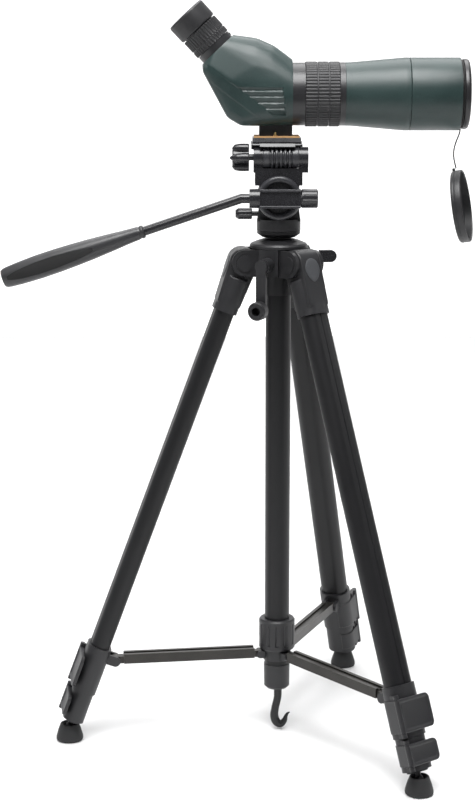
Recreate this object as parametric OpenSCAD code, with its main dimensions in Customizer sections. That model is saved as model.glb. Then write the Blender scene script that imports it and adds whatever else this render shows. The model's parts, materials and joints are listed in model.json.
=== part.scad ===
// Angled 60 mm spotting scope on a compact three-section tripod with a pan head.
// Origin: on the stand's axis at floor level. +X: objective end, +Z: up.

/* [Scope] */
// Height of the optical axis above the floor
axis_h = 650.5; // [645:0.5:660]
// Outer diameter of the barrel's front and of the sunshade
barrel_d = 70; // [68:0.5:72]
// Outer diameter of the ribbed focus ring
focus_d = 62.4; // [61.4:0.2:64]
// Angle of the eyepiece above the optical axis
eye_angle = 47; // [45:1:48]
// Outer diameter of the eyecup
eyecup_d = 41; // [40:0.2:42]

/* [Head] */
// Height of the tilt axis above the floor
tilt_h = 551.5; // [551:0.5:553]
// Diameter of the tilt disc
tilt_d = 43; // [41:0.5:43]
// Diameter of the handle rod
rod_d = 9.1; // [8:0.1:9.2]
// Droop of the handle below level
rod_drop = 18.6; // [15:0.2:22]

/* [Stand] */
// Height of the leg pivots above the floor
shoulder_h = 488; // [486:0.5:490]
// Distance of the leg pivots from the stand's axis
shoulder_r = 36; // [36:0.5:38]
// Angle of each leg from upright
leg_spread = 20.6; // [19:0.2:22]
// Length of a closed leg from its pivot to the ball of its foot
leg_len = 506; // [505:0.5:508]
// Width of the upper leg tube across the leg
leg_w = 29.5; // [29:0.1:30]
// Thickness of the upper leg tube
leg_t = 19.5; // [19:0.1:20]
// Outer diameter of the fixed centre tube
center_d = 25; // [24.6:0.1:25.2]
// Height of the brace arms' pivots above the floor
brace_h = 83; // [80:0.5:86]
// Distance of the hub's pivots from the stand's axis
hub_pivot_r = 18; // [18:0.1:18.6]

/* [Hidden] */
$fn = 72;
LEGS = [1, 2, 3];

black = [0.09, 0.09, 0.10];
satin = [0.14, 0.14, 0.15];
green = [0.10, 0.17, 0.15];
cork = [0.62, 0.45, 0.28];
brass = [0.75, 0.60, 0.35];
glass = [0.55, 0.65, 0.75, 0.5];

gap = 0.3;             // free gap between bodies that slide or swing past each other
fit = 0.05;            // radial clearance of a pin or shaft in its bore
wall = 1.2;            // wall of every drawn tube

leg_az = [188, 308, 68];                 // directions of the legs
crank_az = 248;                          // the crank sits between legs 1 and 2
lock_az = 8;                             // the column lock sits between legs 2 and 3

// ---------- placing ----------
module on_leg(n) {
    rotate([0, 0, leg_az[n - 1]]) translate([shoulder_r, 0, shoulder_h])
        rotate([0, -leg_spread, 0]) children();
}
module along(from, to) {
    // an extrusion along the leg, from one distance below the pivot to another
    translate([0, 0, -to]) linear_extrude(to - from) children();
}
module on_scope() { translate([0, 0, axis_h]) rotate([0, 90, 0]) children(); }
module on_eye() { translate([eye_x, 0, eye_z]) rotate([0, eye_angle - 90, 0]) children(); }
module along_x(x, y, z) { translate([x, y, z]) rotate([0, 90, 0]) children(); }
module along_y(x, y, z) { translate([x, y, z]) rotate([-90, 0, 0]) children(); }

// ---------- shared shapes ----------
module oval(w, t) {
    square([t, w - t], center = true);
    for (s = [-1, 1]) translate([0, s * (w - t) / 2]) circle(d = t);
}
module tube(w, t, from, to) {
    along(from, to) difference() { oval(w, t); oval(w - 2 * wall, t - 2 * wall); }
}
module box_at(low, high) { translate(low) cube(high - low); }

// ================= centre of the stand =================
ear_in = 13;           // inner face of each ear from the leg's middle plane
ear_out = 17;
ear_rad = 12.7;
core_r = 20.5;
body_low = 474;
body_high = 500;
crown_r = 28.6;
crown_top = 510;
collar_low = 455;
tube_low = 60;
tube_top = body_low;

module ear_shape() {
    circle(r = ear_rad);
    translate([-22, body_low - shoulder_h + 0.4]) square([22, body_high - body_low + 0.4]);
}
module spider() color(black) {
    difference() {
        union() {
            // crown plate with its domed rim
            rotate_extrude() polygon([[0, body_high], [26, body_high], [crown_r, body_high + 1.5],
                [crown_r, body_high + 4], [27, body_high + 5.8], [20, body_high + 8.6],
                [15, crown_top], [0, crown_top]]);
            translate([0, 0, body_low]) cylinder(r = core_r, h = body_high - body_low + 3);
            // collar that grips the centre tube
            translate([0, 0, collar_low]) cylinder(r = 15.4, h = body_low - collar_low + 1);
            for (n = LEGS) rotate([0, 0, leg_az[n - 1]]) {
                // a pair of ears for each leg, with a round cover on each
                for (s = [-1, 1]) {
                    translate([shoulder_r, s * (ear_in + ear_out) / 2, shoulder_h])
                        rotate([90, 0, 0]) linear_extrude(ear_out - ear_in, center = true)
                            ear_shape();
                    translate([shoulder_r, s * (ear_in + ear_out + 1.6) / 2, shoulder_h])
                        rotate([90, 0, 0]) cylinder(r = 8.2, h = 4.8, center = true);
                }
                // panel between two legs
                rotate([0, 0, 60]) box_at([12, -10, body_low + 0.8], [28.2, 10, body_high + 1.2]);
            }
        }
        translate([0, 0, collar_low - 1]) cylinder(r = column_r + 0.4, h = 60);
        translate([0, 0, collar_low - 1]) cylinder(d = center_d, h = tube_top - collar_low + 1);
        // crank's bore and the lock screw's bore
        rotate([0, 0, crank_az]) along_x(column_r, 0, crank_h) cylinder(r = 4 + fit, h = 30);
        rotate([0, 0, lock_az]) along_x(column_r, 0, lock_h) cylinder(r = 2.5 + fit, h = 30);
    }
}
module center_tube() color(satin) {
    translate([0, 0, tube_low]) difference() {
        cylinder(d = center_d, h = tube_top - tube_low);
        translate([0, 0, -1]) cylinder(d = center_d - 2 * wall, h = tube_top - tube_low + 2);
    }
}
cap_low = 46;
module tube_cap() color(black) difference() {
    rotate_extrude() polygon([[0, cap_low], [10.5, cap_low], [13, cap_low + 2.5], [13.3, 72],
        [center_d / 2, 72], [center_d / 2, tube_low], [0, tube_low]]);
    translate([0, 0, cap_low - 1]) cylinder(r = 3 + fit, h = 12);
}
hook_r = 2.6;          // radius of the hook's bar
bend_r = 8.4;          // radius of the hook's bend
bend_at = [2.2, 15.6]; // centre of the bend, x and z
module weight_hook() color(black) {
    start_x = bend_at.x - bend_r;
    start_z = bend_at.y + 4;
    rise = cap_low - 6 - start_z;
    translate([0, 0, cap_low - 8]) cylinder(r = 3, h = 17);
    // slanted shank, then the bend and its tapered tip
    translate([start_x, 0, start_z]) {
        rotate([0, atan2(-start_x, rise), 0]) cylinder(r = hook_r, h = norm([start_x, rise]));
        sphere(r = hook_r + 0.1);
    }
    translate([start_x, 0, bend_at.y]) cylinder(r = hook_r, h = 4);
    translate([bend_at.x, 0, bend_at.y]) {
        rotate([90, 0, 0]) rotate([0, 0, 180]) rotate_extrude(angle = 190)
            translate([bend_r, 0]) circle(r = hook_r);
        rotate([0, -10, 0]) translate([bend_r, 0, 0]) {
            sphere(r = hook_r + 0.1);
            rotate([0, 28, 0]) cylinder(r1 = hook_r - 0.1, r2 = 1, h = 8);
        }
    }
}
column_r = 10.4;
column_low = 150;
neck_low = crown_top + gap;
base_top = 518.3;
spindle_top = 528;
module column() color(satin) {
    translate([0, 0, column_low]) cylinder(r = column_r, h = neck_low - column_low + 1);
    translate([0, 0, neck_low]) cylinder(r = 12.8, h = 3.5);
    // fixed base of the pan head
    translate([0, 0, 512]) cylinder(r1 = 16.5, r2 = 21.3, h = 3.4);
    translate([0, 0, 515.4]) cylinder(r = 21.3, h = base_top - 515.4);
    translate([0, 0, base_top - 1]) cylinder(r = 6, h = spindle_top - base_top + 1);
}
crank_h = 487;
crank_len = 42;
module column_crank() color(black) rotate([0, 0, crank_az]) {
    along_x(column_r + gap + 0.6, 0, crank_h) cylinder(r = 4, h = 36);
    along_x(29.4, 0, crank_h) cylinder(r = 7, h = 14.6);
    // arm
    along_x(44, 0, crank_h) {
        cylinder(r = 6, h = 4.5);
        translate([0, -5, 0]) cube([crank_len, 10, 4.5]);
        translate([crank_len, 0, 0]) cylinder(r = 6, h = 4.5);
    }
    // hollow grip
    along_x(48.5, 0, crank_h - crank_len) difference() {
        rotate_extrude() polygon([[0, 0], [7.5, 0], [9, 2], [9, 11], [7.8, 13], [0, 13]]);
        translate([0, 0, 3]) cylinder(r = 4.2, h = 11);
    }
}
lock_h = 492;
module column_lock() color(black) rotate([0, 0, lock_az]) {
    along_x(column_r + gap + 0.6, 0, lock_h) cylinder(r = 2.5, h = 34);
    along_x(29.4, 0, lock_h) cylinder(r = 4.5, h = 12);
    // wing
    translate([41, 0, lock_h]) rotate([90, 0, 0]) linear_extrude(6, center = true) {
        translate([0, -6]) square([11, 12]);
        translate([11, 0]) circle(r = 6);
    }
}

// ================= brace =================
hub_ring_r = 14.1;
pin_r = 1.5;
pivot_in = 20;                         // arm's outer pivot, inboard of the leg's axis
pivot_s = (shoulder_h - brace_h - pivot_in * sin(leg_spread)) / cos(leg_spread);
pivot_r = shoulder_r + pivot_s * sin(leg_spread) - pivot_in * cos(leg_spread);
arm_len = pivot_r - hub_pivot_r;
module brace_hub() color(black) difference() {
    union() {
        translate([0, 0, 77]) cylinder(r = hub_ring_r, h = 12);
        // fluted sleeve
        rotate_extrude() polygon([[0, 88.8], [17.2, 88.8], [18.3, 90.2], [18.3, 119],
            [17, 120.7], [0, 120.7]]);
        for (n = LEGS) rotate([0, 0, leg_az[n - 1]]) {
            for (s = [-1, 1]) translate([0, s * 5.1, brace_h]) rotate([90, 0, 0])
                linear_extrude(2.8, center = true) {
                    translate([hub_pivot_r, 0]) circle(r = 3.6);
                    translate([13, -3.6]) square([hub_pivot_r - 13, 7.2]);
                }
            along_y(hub_pivot_r, -6.5, brace_h) cylinder(r = pin_r, h = 13);
        }
    }
    translate([0, 0, 70]) cylinder(d = center_d + 2 * gap, h = 60);
    for (i = [0:11]) rotate([0, 0, 30 * i]) translate([20.3, 0, 94]) cylinder(r = 3, h = 22);
}
arm_w = 12.6;
arm_up = 7;
arm_down = 3;
module brace_arm(n) color(satin) rotate([0, 0, leg_az[n - 1]]) translate([hub_pivot_r, 0, brace_h])
    difference() {
        union() {
            // channel, open below, with a grooved top
            translate([6, 0, 0]) rotate([90, 0, 90]) linear_extrude(arm_len - 15) difference() {
                translate([-arm_w / 2, -arm_down]) square([arm_w, arm_up + arm_down]);
                translate([-arm_w / 2 + 1.5, -arm_down - 1]) square([arm_w - 3, arm_down + 3.5]);
                translate([-2.6, arm_up - 1.6]) square([5.2, 2]);
            }
            box_at([0, -3.3, -arm_down], [16, 3.3, 3.6]);
            along_y(0, -3.3, 0) cylinder(r = 3.6, h = 6.6);
            box_at([arm_len - 22, -4.4, -arm_down], [arm_len, 4.4, 4.4]);
            along_y(arm_len, -4.4, 0) cylinder(r = 5, h = 8.8);
        }
        along_y(0, -5, 0) cylinder(r = pin_r + fit, h = 10);
        along_y(arm_len, -6, 0) cylinder(r = pin_r + fit, h = 12);
    }

// ================= legs =================
knuckle_r = 14.4;
lock_top = 415;        // distances below the leg's pivot
upper_end = 445;
upper_lock_end = 464.6;
mid_top = 60;
mid_end = 478;
lower_lock_top = 465;
lower_lock_end = 496.5;
low_top = 90;
low_end = 498.5;
upper_case = [34, 24.4];   // width and thickness of the upper lock's casting
lower_case = [31, 21.6];
mid_w = leg_w - 3.1;
mid_t = leg_t - 3.1;
low_w = mid_w - 3.1;
low_t = mid_t - 3.1;

module leg_casting(n) color(black) on_leg(n) difference() {
    union() {
        rotate([90, 0, 0]) cylinder(r = knuckle_r, h = 2 * ear_in - 2 * gap, center = true);
        translate([-11, -ear_in + gap, -22]) cube([23.2, 2 * (ear_in - gap), 22]);
        along(15, 52) oval(33.6, 24.4);
        // smooth pad on the outer face
        translate([12, 0, -12]) rotate([90, 0, 90]) linear_extrude(0.8) {
            translate([-8.6, 0]) square([17.2, 9]);
            scale([1, 1.1]) circle(r = 8.6);
        }
    }
    along(24, 60) oval(leg_w, leg_t);
}
module upper_tube(n) color(satin) on_leg(n) along(24, upper_end) difference() {
    oval(leg_w, leg_t);
    oval(leg_w - 2 * wall, leg_t - 2 * wall);
    translate([leg_t / 2 - 0.5, -1]) square([1, 2]);
}
hinge_r = 2.6;
module lever_hinge_at(case) { translate([case[1] / 2 + 1.6, -case[0] / 2 - 0.6, 0]) children(); }
module lock_hinge(case, from, to) {
    // two knuckles and the pin that the flip lever turns on
    end = 4;
    for (s = [from, to - end]) {
        lever_hinge_at(case) along(s, s + end) circle(r = hinge_r);
        along(s, s + end) translate([case[1] / 2 - 7, -case[0] / 2 - 0.6]) square([8, 3.6]);
    }
    lever_hinge_at(case) along(from, to) circle(r = 1.1);
}
module flip_lever(case, from, to) {
    hx = case[1] / 2 + 1.6;
    hy = -case[0] / 2 - 0.6;
    free = case[0] / 2 + 4.5;
    corner = 5;
    difference() {
        union() {
            lever_hinge_at(case) along(from, to) circle(r = hinge_r);
            along(from, to) translate([case[1] / 2 + gap, hy + 0.2]) square([3.4, free - hy - corner - 1]);
            // free end with round corners
            translate([case[1] / 2 + gap, 0, 0]) rotate([90, 0, 90]) linear_extrude(3.4) {
                for (s = [from + corner, to - corner]) translate([free - corner, -s]) circle(r = corner);
                translate([free - corner - 4, -to]) square([4, to - from]);
                translate([free - corner - 4, corner - to])
                    square([corner + 4, to - from - 2 * corner]);
            }
        }
        lever_hinge_at(case) along(from - 1, to + 1) circle(r = 1.1 + fit);
        // finger ridge's recess
        along(from + 5, to - 5) translate([case[1] / 2 + gap + 2.6, hy + 8]) square([2, free - hy - 14]);
    }
}
module upper_lock(n) color(black) on_leg(n) difference() {
    union() {
        along(lock_top, upper_lock_end) oval(upper_case[0], upper_case[1]);
        lock_hinge(upper_case, lock_top + 8, upper_lock_end - 1);
        // clevis and pin for the brace arm
        for (s = [-1, 1]) translate([0, s * 6.5, -pivot_s]) rotate([90, 0, 0])
            linear_extrude(3.4, center = true) {
                translate([-pivot_in, 0]) circle(r = 5);
                translate([-pivot_in, -5]) square([pivot_in - 11, 10]);
            }
        along_y(-pivot_in, -8.2, -pivot_s) cylinder(r = pin_r, h = 16.4);
    }
    along(lock_top - 1, upper_end) oval(leg_w, leg_t);
    along(upper_end - 1, upper_lock_end + 1) oval(leg_w - 2 * wall, leg_t - 2 * wall);
}
module upper_lever(n) color(black) on_leg(n)
    flip_lever(upper_case, lock_top + 12.3, upper_lock_end - 5.3);
module mid_tube(n) color(black) on_leg(n) {
    tube(mid_w, mid_t, mid_top, mid_end);
    difference() {
        union() {
            along(lower_lock_top, lower_lock_end) oval(lower_case[0], lower_case[1]);
            lock_hinge(lower_case, lower_lock_top + 1, lower_lock_end - 1);
        }
        along(lower_lock_top - 1, mid_end) oval(mid_w, mid_t);
        along(mid_end - 1, lower_lock_end + 1) oval(mid_w - 2 * wall, mid_t - 2 * wall);
    }
}
module lower_lever(n) color(black) on_leg(n)
    flip_lever(lower_case, lower_lock_top + 5.3, lower_lock_end - 5.3);
ball_r = 4.6;
module low_tube(n) color(satin) on_leg(n) {
    tube(low_w, low_t, low_top, low_end);
    along(low_end - 4, low_end) oval(low_w - 2 * wall, low_t - 2 * wall);
    translate([0, 0, -leg_len]) sphere(r = ball_r);
    along(low_end - 1, leg_len) circle(r = 2.6);
}
foot_at = shoulder_r + leg_len * sin(leg_spread);
ball_h = shoulder_h - leg_len * cos(leg_spread);
module foot(n) color(black) rotate([0, 0, leg_az[n - 1]]) translate([foot_at, 0, 0]) difference() {
    rotate_extrude() polygon([[0, 0], [12.8, 0], [13.6, 1], [13.7, 4], [11.6, 11.5], [9.4, 16.6],
        [8, 18], [0, 18]]);
    translate([0, 0, ball_h]) sphere(r = ball_r + gap);
    translate([0, 0, ball_h]) cylinder(r1 = ball_r + gap - 1.2, r2 = 7.2, h = 6);
}

// ================= pan head =================
drum_r = 21.5;
drum_top = tilt_h - tilt_d / 2 - gap;
cheek_in = 10.3;
upright_r = 20;
bridge_low = tilt_h + upright_r + 0.6;
bridge_top = 580;
module pan_body() color(black) difference() {
    union() {
        translate([0, 0, base_top + gap]) cylinder(r = drum_r, h = drum_top - base_top - gap);
        translate([0, 0, tilt_h]) rotate([90, 0, 0])
            linear_extrude(2 * (cheek_in - gap), center = true) {
                circle(r = upright_r);
                polygon([[-21.2, drum_top - 2 - tilt_h], [21.2, drum_top - 2 - tilt_h],
                    [20.6, drum_top + 3 - tilt_h], [18.4, -3], [-18.4, -3],
                    [-20.6, drum_top + 3 - tilt_h]]);
            }
    }
    translate([0, 0, base_top]) cylinder(r = 6 + fit, h = spindle_top - base_top + gap);
    along_y(0, -30, tilt_h) cylinder(r = 5 + fit, h = 60);
    along_x(-30, 0, pan_lock_h) cylinder(r = 2.4 + fit, h = 22);
}
pan_lock_h = 534.5;
module pan_lock() color(black) {
    along_x(-28, 0, pan_lock_h) cylinder(r = 2.4, h = 19.5);
    along_x(-42.5, 0, pan_lock_h) difference() {
        rotate_extrude() polygon([[0, 0], [3.5, 0], [5.6, 3], [5.6, 15.5], [4.6, 16.3], [0, 16.3]]);
        for (i = [0:7]) rotate([0, 0, 45 * i]) translate([6.1, 0, 4]) cylinder(r = 0.9, h = 13);
    }
}
sleeve_y = -27.2;      // the handle's sleeve runs across the front of the tilt disc
sleeve_half = 9;
rod_end = -4;
barrel_y = -16;        // the flip hinge's axis
barrel_z = 590.5;
barrel_r = 10;
module tilt_block() color(black) difference() {
    union() {
        // cheeks, the front one with the tilt disc on it
        for (s = [-1, 1]) translate([0, s * 15.65, tilt_h]) rotate([90, 0, 0])
            linear_extrude(10.7, center = true) {
                circle(d = tilt_d - 1);
                translate([-23.5, 12]) square([46, bridge_top - tilt_h - 12]);
                translate([-19.5, 0]) square([39, 14]);
            }
        along_y(0, -23.4, tilt_h) cylinder(d = tilt_d, h = 3);
        box_at([-23.5, -21, bridge_low], [22.5, 21, bridge_top]);
        along_y(0, -12, tilt_h) cylinder(r = 5, h = 24);
        // handle sleeve and its left collar
        box_at([-19.5, -33.2, tilt_h - sleeve_half], [20.5, -21, tilt_h + sleeve_half]);
        along_x(-29, sleeve_y, tilt_h) cylinder(r = 9.3, h = 10);
        // hinge lugs for the flip platform and a rest behind it
        for (x = [-25, 19]) {
            along_x(x, barrel_y, barrel_z) cylinder(r = barrel_r, h = 9);
            box_at([x, barrel_y - 5, bridge_top - 4], [x + 9, barrel_y + 10, barrel_z]);
        }
        box_at([-18, 9, bridge_top - 1], [18, 20, 597]);
    }
    // rod's socket, screw's bore and the hinge shaft's bore
    along_x(-30, sleeve_y, tilt_h) cylinder(r = rod_d / 2 + fit, h = 30 + rod_end + gap);
    along_x(2, sleeve_y, tilt_h) cylinder(r = 4 + fit, h = 20);
    along_x(-30, barrel_y, barrel_z) cylinder(r = 3 + fit, h = 70);
    // room for the handle lock's knob
    along_x(20.6, sleeve_y, tilt_h) cylinder(r = 9.6, h = 20);
    // dished face of the disc, and the sleeve's sunk front
    along_y(0, -23.9, tilt_h) difference() {
        cylinder(r = 15.5, h = 1.9);
        translate([-30, -sleeve_half, -1]) cube([60, 2 * sleeve_half, 4]);
    }
    box_at([-18, -33.6, tilt_h - 6.6], [19, -32.2, tilt_h + 6.6]);
}
bend_x = -37;
grip_start = 99;       // distances along the drooping part of the rod
grip_len = 146;
module droop() {
    translate([bend_x, sleeve_y, tilt_h]) rotate([0, -90 - rod_drop, 0]) children();
}
module handle_rod() color(satin) {
    along_x(bend_x, sleeve_y, tilt_h) cylinder(d = rod_d, h = rod_end - bend_x);
    translate([bend_x, sleeve_y, tilt_h]) sphere(d = rod_d);
    droop() cylinder(d = rod_d, h = grip_start + 30);
}
module handle_grip() color(black) droop() difference() {
    rotate_extrude() polygon([[0, grip_start], [5.2, grip_start], [5.9, grip_start + 2],
        [7.4, grip_start + 22], [10.1, grip_start + 55], [11.6, grip_start + 90],
        [11.7, grip_start + 108], [10.6, grip_start + 130], [9, grip_start + grip_len - 3],
        [7.6, grip_start + grip_len], [0, grip_start + grip_len]]);
    translate([0, 0, grip_start - 1]) cylinder(d = rod_d, h = 31);
}
module handle_lock() color(black) {
    along_x(2.5, sleeve_y, tilt_h) cylinder(r = 4, h = 20);
    along_x(20.8, sleeve_y, tilt_h) difference() {
        rotate_extrude() polygon([[0, 0], [8, 0], [9.1, 1.2], [9.1, 15.4], [8.2, 16.4], [0, 16.4]]);
        for (i = [0:11]) rotate([0, 0, 30 * i]) translate([9.8, 0, 2]) cylinder(r = 1.1, h = 15);
    }
}
deck_low = 597.4;
deck_top = 602.2;
module flip_platform() color(black) difference() {
    union() {
        // ribbed barrel
        along_x(-15.7, barrel_y, barrel_z) cylinder(r = 8.8, h = 34.4);
        for (x = [-15.7, 12.5]) along_x(x, barrel_y, barrel_z) cylinder(r = barrel_r - 0.1, h = 6.2);
        for (i = [0:4]) along_x(-8.1 + i * 4.2, barrel_y, barrel_z) cylinder(r = barrel_r - 0.1, h = 2.4);
        // deck with a dovetail seat
        box_at([-15.7, barrel_y, deck_low], [18.7, 4, deck_top]);
        box_at([-27, -4, deck_low], [23, 26, deck_top]);
        for (s = [-1, 1]) translate([-2, s * 1, 0]) rotate([90, 0, 90])
            linear_extrude(s > 0 ? 50 : 34, center = true)
                polygon([[s * 21.5, deck_top - 1], [s * 25, deck_top - 1], [s * 23.4, deck_top + 1.9],
                    [s * 20.6, deck_top + 1.9]]);
        box_at([-15.7, -25, deck_top - 2], [15, -14, deck_top]);
    }
    along_x(-30, barrel_y, barrel_z) cylinder(r = 3 + fit, h = 70);
}
module platform_knob() color(black) {
    along_x(-30, barrel_y, barrel_z) cylinder(r = 3, h = 57);
    along_x(-46.5, barrel_y, barrel_z) {
        translate([0, 0, 1]) cylinder(r = 8.5, h = 16.2);
        for (i = [0:4]) rotate([0, 0, 72 * i - 90]) translate([9, 0, 0]) {
            cylinder(r1 = 3.6, r2 = 4.7, h = 3);
            translate([0, 0, 3]) cylinder(r = 4.7, h = 14.2);
        }
        rotate([0, 0, -90]) translate([9, 0, -1.6]) cylinder(r1 = 1.5, r2 = 3.6, h = 1.6);
    }
}
plate_low = deck_top + gap;
plate_top = 609.3;
pad_top = 610.7;
module quick_plate() color(black) difference() {
    translate([-2.5, 0, 0]) rotate([90, 0, 90]) linear_extrude(47, center = true)
        polygon([[-21.1, plate_low], [21.1, plate_low], [19.9, deck_top + 2.3],
            [21.4, deck_top + 3], [20, plate_top], [-20, plate_top], [-21.4, deck_top + 3],
            [-19.9, deck_top + 2.3]]);
    // recess and bore of the camera screw, and the video pin's hole
    translate([0, 0, plate_low - 1]) cylinder(r = 9.4, h = 4.2);
    translate([0, 0, plate_low]) cylinder(r = 3.175 + fit, h = 10);
    translate([video_x, video_y, plate_low]) cylinder(r = 1.6, h = 10);
}
video_x = -4;
video_y = -15.5;
module plate_pad() color(cork) difference() {
    box_at([-24.5, -19, plate_top], [19.5, 19, pad_top]);
    translate([0, 0, plate_top - 1]) cylinder(r = 3.175 + fit, h = 4);
    translate([video_x, video_y, plate_top - 1]) cylinder(r = 1.6, h = 4);
}
module camera_screw() color(brass) {
    translate([0, 0, plate_low + gap]) cylinder(r = 9, h = 2.4);
    translate([0, 0, plate_low + gap]) cylinder(r = 3.175, h = 14);
}

// ================= scope =================
foot_top = 623;
rear_x = -19.5;
front_x = 12.6;
module mount_foot() color(black) difference() {
    box_at([rear_x, -12, pad_top], [front_x, 12, foot_top]);
    translate([0, 0, pad_top - 1]) cylinder(r = 3.175 + fit, h = 7.4);
}
eye_len = 46.2;                        // from the housing's seat to the eyecup's rim
eye_x = -59.6;                         // centre of the seat
eye_z = 692.9;
collar_h = 6.6;
zoom_h = 19.4;
neck_h = 1;
round_r = 9;
module housing_ball(x, z, y) {
    for (s = [-1, 1]) translate([x, s * y, axis_h + z]) sphere(r = round_r, $fn = 24);
}
module prism_housing() color(green) difference() {
    hull() {
        // round flange at the front
        along_x(front_x - 5, 0, axis_h) cylinder(r = 30.8, h = 5, $fn = 48);
        // eyepiece seat
        on_eye() translate([0, 0, -8]) cylinder(r = 18.4, h = 8, $fn = 36);
        housing_ball(-37, 45.6, 12);
        housing_ball(-24, 43.8, 14);
        housing_ball(-10, 37.6, 17);
        housing_ball(0, 30.4, 20);
        housing_ball(-65, 24.6, 16);
        housing_ball(-43.6, -15.4, 17);
        housing_ball(-34.5, -20.4, 17);
        housing_ball(-18, 4, 21.5);
        housing_ball(-46, 12, 20);
    }
    // light path: front bore, prism chamber and eyepiece bore
    along_x(-14, 0, axis_h) cylinder(r = 24, h = 40);
    translate([0, 0, axis_h]) rotate([90, 0, 0]) linear_extrude(32, center = true)
        polygon([[-14, 24], [-14, -20], [-38, -20], [-58, 14], [-52, 28], [-34, 40], [-20, 36]]);
    on_eye() translate([0, 0, -24]) cylinder(r = 14, h = 30);
    box_at([rear_x, -12, 600], [front_x + 1, 12, foot_top]);
}
module optics() color(glass) {
    // objective doublet
    along_x(143, 0, axis_h) difference() {
        cylinder(r = 31.2, h = 9);
        translate([0, 0, -93]) sphere(r = 95);
    }
    // roof prism
    translate([0, 0, axis_h]) rotate([90, 0, 0]) linear_extrude(28, center = true)
        polygon([[-16, -16], [-36, -16], [-54, 14], [-40, 32], [-16, 16]]);
    // eye lens
    on_eye() translate([0, 0, eye_len - 12]) cylinder(r = 12, h = 3);
}
sleeve_front = 63.6;
ring_x = [25.1, 58.1];                 // ends of the focus ring
module focus_sleeve() color(black) on_scope() difference() {
    union() {
        translate([0, 0, front_x]) cylinder(r = 30.2, h = ring_x[0] - gap - front_x);
        translate([0, 0, front_x]) cylinder(r = 27.5, h = sleeve_front - front_x);
        translate([0, 0, ring_x[1] + gap]) cylinder(r = 30.4, h = sleeve_front - ring_x[1] - gap);
    }
    translate([0, 0, front_x - 1]) cylinder(r = 24, h = 60);
}
module focus_ring() color(black) on_scope() difference() {
    translate([0, 0, ring_x[0]]) cylinder(d = focus_d, h = ring_x[1] - ring_x[0]);
    translate([0, 0, ring_x[0] - 1]) cylinder(r = 27.5 + 0.08, h = 40);
    for (x = [36.4, 47.4]) translate([0, 0, x]) difference() {
        cylinder(r = 40, h = 0.8);
        cylinder(d = focus_d - 1.2, h = 0.8);
    }
}
cell_r = 33.3;                         // tube under the sunshade
cell_front = 172;
shade_x = [126.2, 174.8];
module barrel() color(green) on_scope() rotate_extrude() polygon([[24, sleeve_front],
    [30.4, sleeve_front], [30.5, 69], [barrel_d / 2, 121.3], [barrel_d / 2, shade_x[0] - gap],
    [cell_r, shade_x[0] - gap], [cell_r, cell_front], [31.2, cell_front], [31.2, 143],
    [29, 143], [29, 120], [27, 80]]);
module sunshade() color(green) on_scope() difference() {
    translate([0, 0, shade_x[0]]) cylinder(d = barrel_d, h = shade_x[1] - shade_x[0]);
    translate([0, 0, shade_x[0] - 1]) cylinder(r = cell_r + 0.08, h = 60);
}
ring_front = 183.2;
mouth_r = 30.4;
rim_r = 33.7;
loop_r = 32.6;
cord_r = 0.65;
loop_x = 176.6;
module front_ring() color(black) on_scope() {
    rotate_extrude() polygon([[mouth_r, shade_x[1]], [34.6, shade_x[1]], [34.6, shade_x[1] + 0.5],
        [loop_r - cord_r, shade_x[1] + 0.5], [loop_r - cord_r, loop_x + 1], [rim_r, loop_x + 1],
        [rim_r, ring_front - 2], [rim_r - 0.8, ring_front - 0.6], [rim_r - 2, ring_front],
        [mouth_r, ring_front]]);
}
module cord_loop() color(black) on_scope() translate([0, 0, loop_x])
    rotate_extrude() translate([loop_r, 0]) circle(r = cord_r, $fn = 24);

// The cap's cord, from the loop down to the cap's lug
cord_path = [[176.6, 0, 617], [176.3, 0, 614], [175.2, 0, 610.5], [173.8, 0, 607], [172.4, 0, 603],
    [171.3, 0, 599], [170.8, 0, 595], [170.8, 0, 591], [171.3, 0, 587.5], [172.1, 0, 584],
    [172.9, 0, 581], [173.4, 0, 578.6]];
cord_sides = 8;
function cord_dir(i) = let (p = cord_path, last = len(cord_path) - 1,
    d = p[min(i + 1, last)] - p[max(i - 1, 0)]) d / norm(d);
function cord_ring(i) = let (d = cord_dir(i), v = [0, 1, 0], u = cross(v, d))
    [for (k = [0:cord_sides - 1]) let (a = 360 * k / cord_sides)
        cord_path[i] + cord_r * (cos(a) * u + sin(a) * v)];
module cap_cord() color(black) {
    rings = len(cord_path);
    polyhedron(
        points = [for (i = [0:rings - 1]) each cord_ring(i)],
        faces = concat(
            [[for (k = [0:cord_sides - 1]) k]],
            [for (i = [0:rings - 2], k = [0:cord_sides - 1])
                let (a = i * cord_sides, m = (k + 1) % cord_sides)
                [a + k, a + cord_sides + k, a + cord_sides + m, a + m]],
            [[for (k = [cord_sides - 1:-1:0]) (rings - 1) * cord_sides + k]]));
}
cap_r = 35.6;
cap_depth = 10;
cap_lean = 9;
cap_turn = -14;
module lens_cap() color(black) translate([179.6, 0, 541.6]) rotate([0, 0, cap_turn])
    rotate([0, 90 - cap_lean, 0]) translate([0, 0, -cap_depth / 2]) {
        rotate_extrude() polygon([[0, 0], [cap_r - 1.5, 0], [cap_r, 1.5], [cap_r, cap_depth],
            [cap_r - 1.5, cap_depth], [cap_r - 1.5, 1.8], [0, 1.8]]);
        // lug that the cord is tied to
        translate([-cap_r - 1.1, 0, 1.2]) cylinder(r = 1.4, h = 2.2);
    }

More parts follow.
